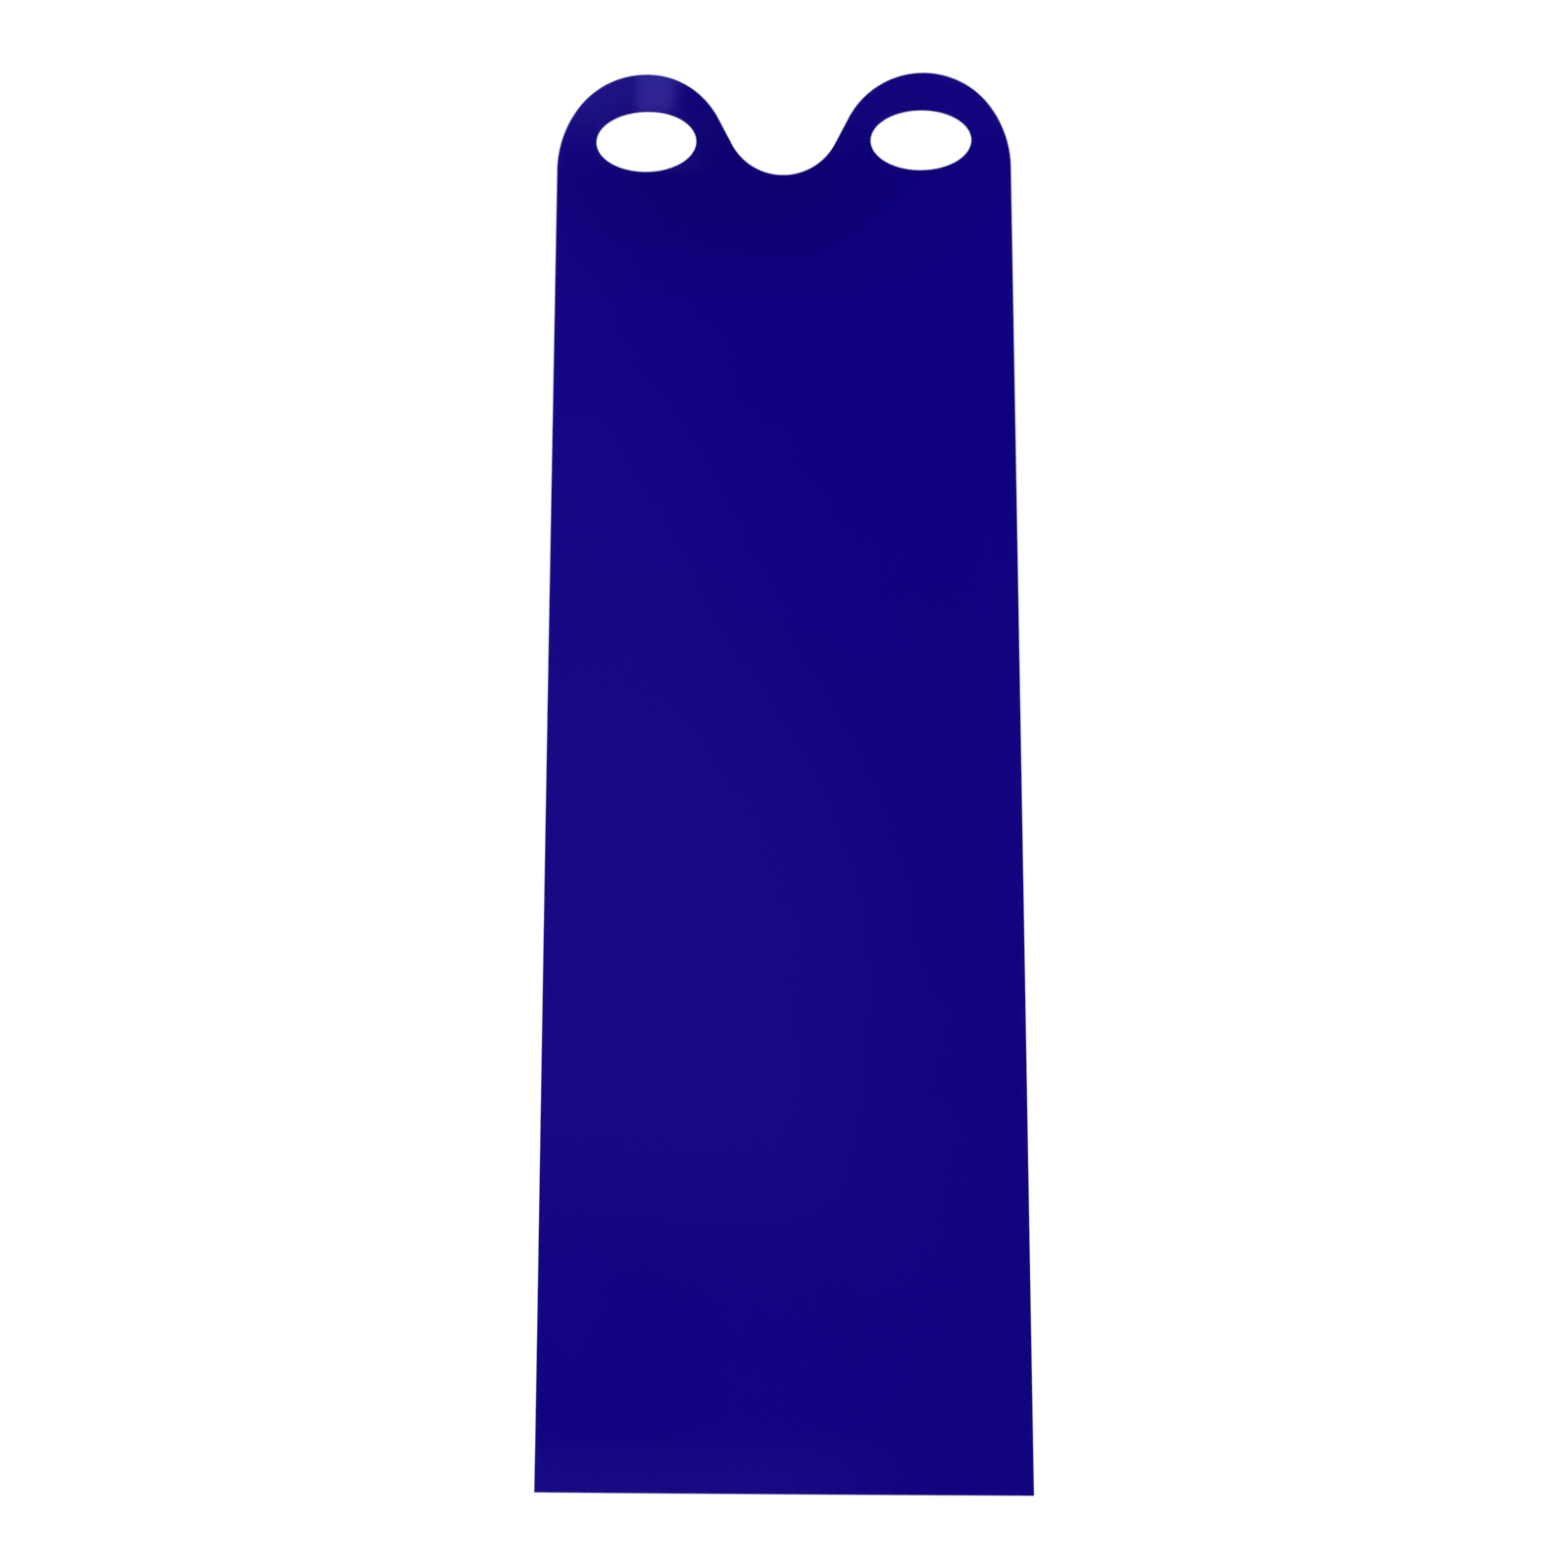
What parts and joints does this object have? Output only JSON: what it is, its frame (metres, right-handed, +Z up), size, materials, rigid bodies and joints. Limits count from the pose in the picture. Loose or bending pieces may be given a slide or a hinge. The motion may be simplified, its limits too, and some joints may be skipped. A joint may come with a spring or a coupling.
{
  "type": "welding apron",
  "caption": "Long flexible plastic apron sheet, slightly flared towards a square hem, with round ears at the top that have oval loop openings, and a round neck notch between them.",
  "frame": {"origin": "midway between the two loop openings, level with their top edges, at mid-thickness, where the hooks or straps that hold the apron bear", "axes": "+Z up along the sheet, +X to the right seen from the front, +Y out of the back, so the front faces -Y"},
  "size_m": [0.43, 0.0016, 1.22],
  "materials": {
    "sheet": "glossy, deep royal blue all through"
  },
  "bodies": {
    "yoke": {"yoke": "sheet"},
    "left_ear": {"left_ear": "sheet"},
    "right_ear": {"right_ear": "sheet"},
    "section_1": {"section_1": "sheet"},
    "section_2": {"section_2": "sheet"},
    "section_3": {"section_3": "sheet"},
    "section_4": {"section_4": "sheet"},
    "section_5": {"section_5": "sheet"},
    "section_6": {"section_6": "sheet"},
    "section_7": {"section_7": "sheet"},
    "section_8": {"section_8": "sheet"},
    "section_9": {"section_9": "sheet"},
    "section_10": {"section_10": "sheet"},
    "section_11": {"section_11": "sheet"}
  },
  "joints": [
    {"name": "left_ear_bend", "type": "hinge", "parent": "yoke", "child": "left_ear", "pos_m": [0, 0, -0.0255], "axis": [1, 0, 0], "range_deg": [-90, 90], "stiffness_Nm_per_rad": 0.088},
    {"name": "right_ear_bend", "type": "hinge", "parent": "yoke", "child": "right_ear", "pos_m": [0, 0, -0.0255], "axis": [1, 0, 0], "range_deg": [-90, 90], "stiffness_Nm_per_rad": 0.088},
    {"name": "section_1_bend", "type": "hinge", "parent": "yoke", "child": "section_1", "pos_m": [0, 0, -0.12233], "axis": [1, 0, 0], "range_deg": [-27, 27], "stiffness_Nm_per_rad": 0.342},
    {"name": "section_2_bend", "type": "hinge", "parent": "section_1", "child": "section_2", "pos_m": [0, 0, -0.21917], "axis": [1, 0, 0], "range_deg": [-27, 27], "stiffness_Nm_per_rad": 0.345},
    {"name": "section_3_bend", "type": "hinge", "parent": "section_2", "child": "section_3", "pos_m": [0, 0, -0.316], "axis": [1, 0, 0], "range_deg": [-27, 27], "stiffness_Nm_per_rad": 0.348},
    {"name": "section_4_bend", "type": "hinge", "parent": "section_3", "child": "section_4", "pos_m": [0, 0, -0.41283], "axis": [1, 0, 0], "range_deg": [-27, 27], "stiffness_Nm_per_rad": 0.351},
    {"name": "section_5_bend", "type": "hinge", "parent": "section_4", "child": "section_5", "pos_m": [0, 0, -0.50967], "axis": [1, 0, 0], "range_deg": [-27, 27], "stiffness_Nm_per_rad": 0.354},
    {"name": "section_6_bend", "type": "hinge", "parent": "section_5", "child": "section_6", "pos_m": [0, 0, -0.6065], "axis": [1, 0, 0], "range_deg": [-27, 27], "stiffness_Nm_per_rad": 0.357},
    {"name": "section_7_bend", "type": "hinge", "parent": "section_6", "child": "section_7", "pos_m": [0, 0, -0.70333], "axis": [1, 0, 0], "range_deg": [-27, 27], "stiffness_Nm_per_rad": 0.36},
    {"name": "section_8_bend", "type": "hinge", "parent": "section_7", "child": "section_8", "pos_m": [0, 0, -0.80017], "axis": [1, 0, 0], "range_deg": [-27, 27], "stiffness_Nm_per_rad": 0.363},
    {"name": "section_9_bend", "type": "hinge", "parent": "section_8", "child": "section_9", "pos_m": [0, 0, -0.897], "axis": [1, 0, 0], "range_deg": [-27, 27], "stiffness_Nm_per_rad": 0.366},
    {"name": "section_10_bend", "type": "hinge", "parent": "section_9", "child": "section_10", "pos_m": [0, 0, -0.99383], "axis": [1, 0, 0], "range_deg": [-27, 27], "stiffness_Nm_per_rad": 0.369},
    {"name": "section_11_bend", "type": "hinge", "parent": "section_10", "child": "section_11", "pos_m": [0, 0, -1.09067], "axis": [1, 0, 0], "range_deg": [-27, 27], "stiffness_Nm_per_rad": 0.372}
  ]
}
